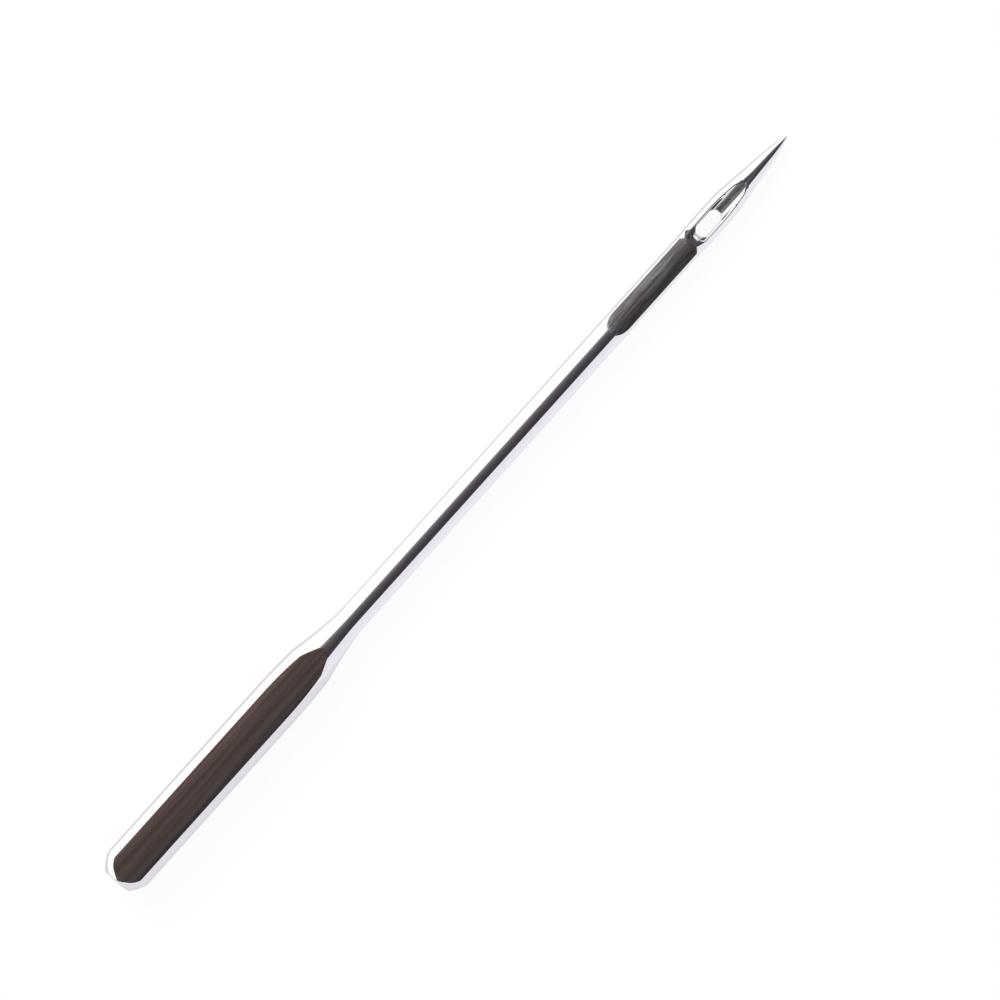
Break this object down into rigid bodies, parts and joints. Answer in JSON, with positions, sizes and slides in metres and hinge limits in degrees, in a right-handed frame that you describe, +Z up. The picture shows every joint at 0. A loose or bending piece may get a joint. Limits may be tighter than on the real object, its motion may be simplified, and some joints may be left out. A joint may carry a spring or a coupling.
{
  "type": "sewing machine needle",
  "caption": "Straight sewing machine needle with a flat-sided shank, grooved blade, scarf, eye and tapered point.",
  "frame": {"origin": "on the surface the needle lies on, under the middle of its bounding box", "axes": "+X along the needle towards the tip, +Z up, out of the shank's flat and the scarf. The needle lies on its shoulder and its eye swell, so its axis dips about one degree towards the tip."},
  "size_m": [0.0392, 0.002, 0.0019],
  "materials": {
    "plated_steel": "polished plated steel, with the flat and the scarf left as ground"
  },
  "bodies": {
    "root": {"needle": "plated_steel"}
  },
  "joints": []
}
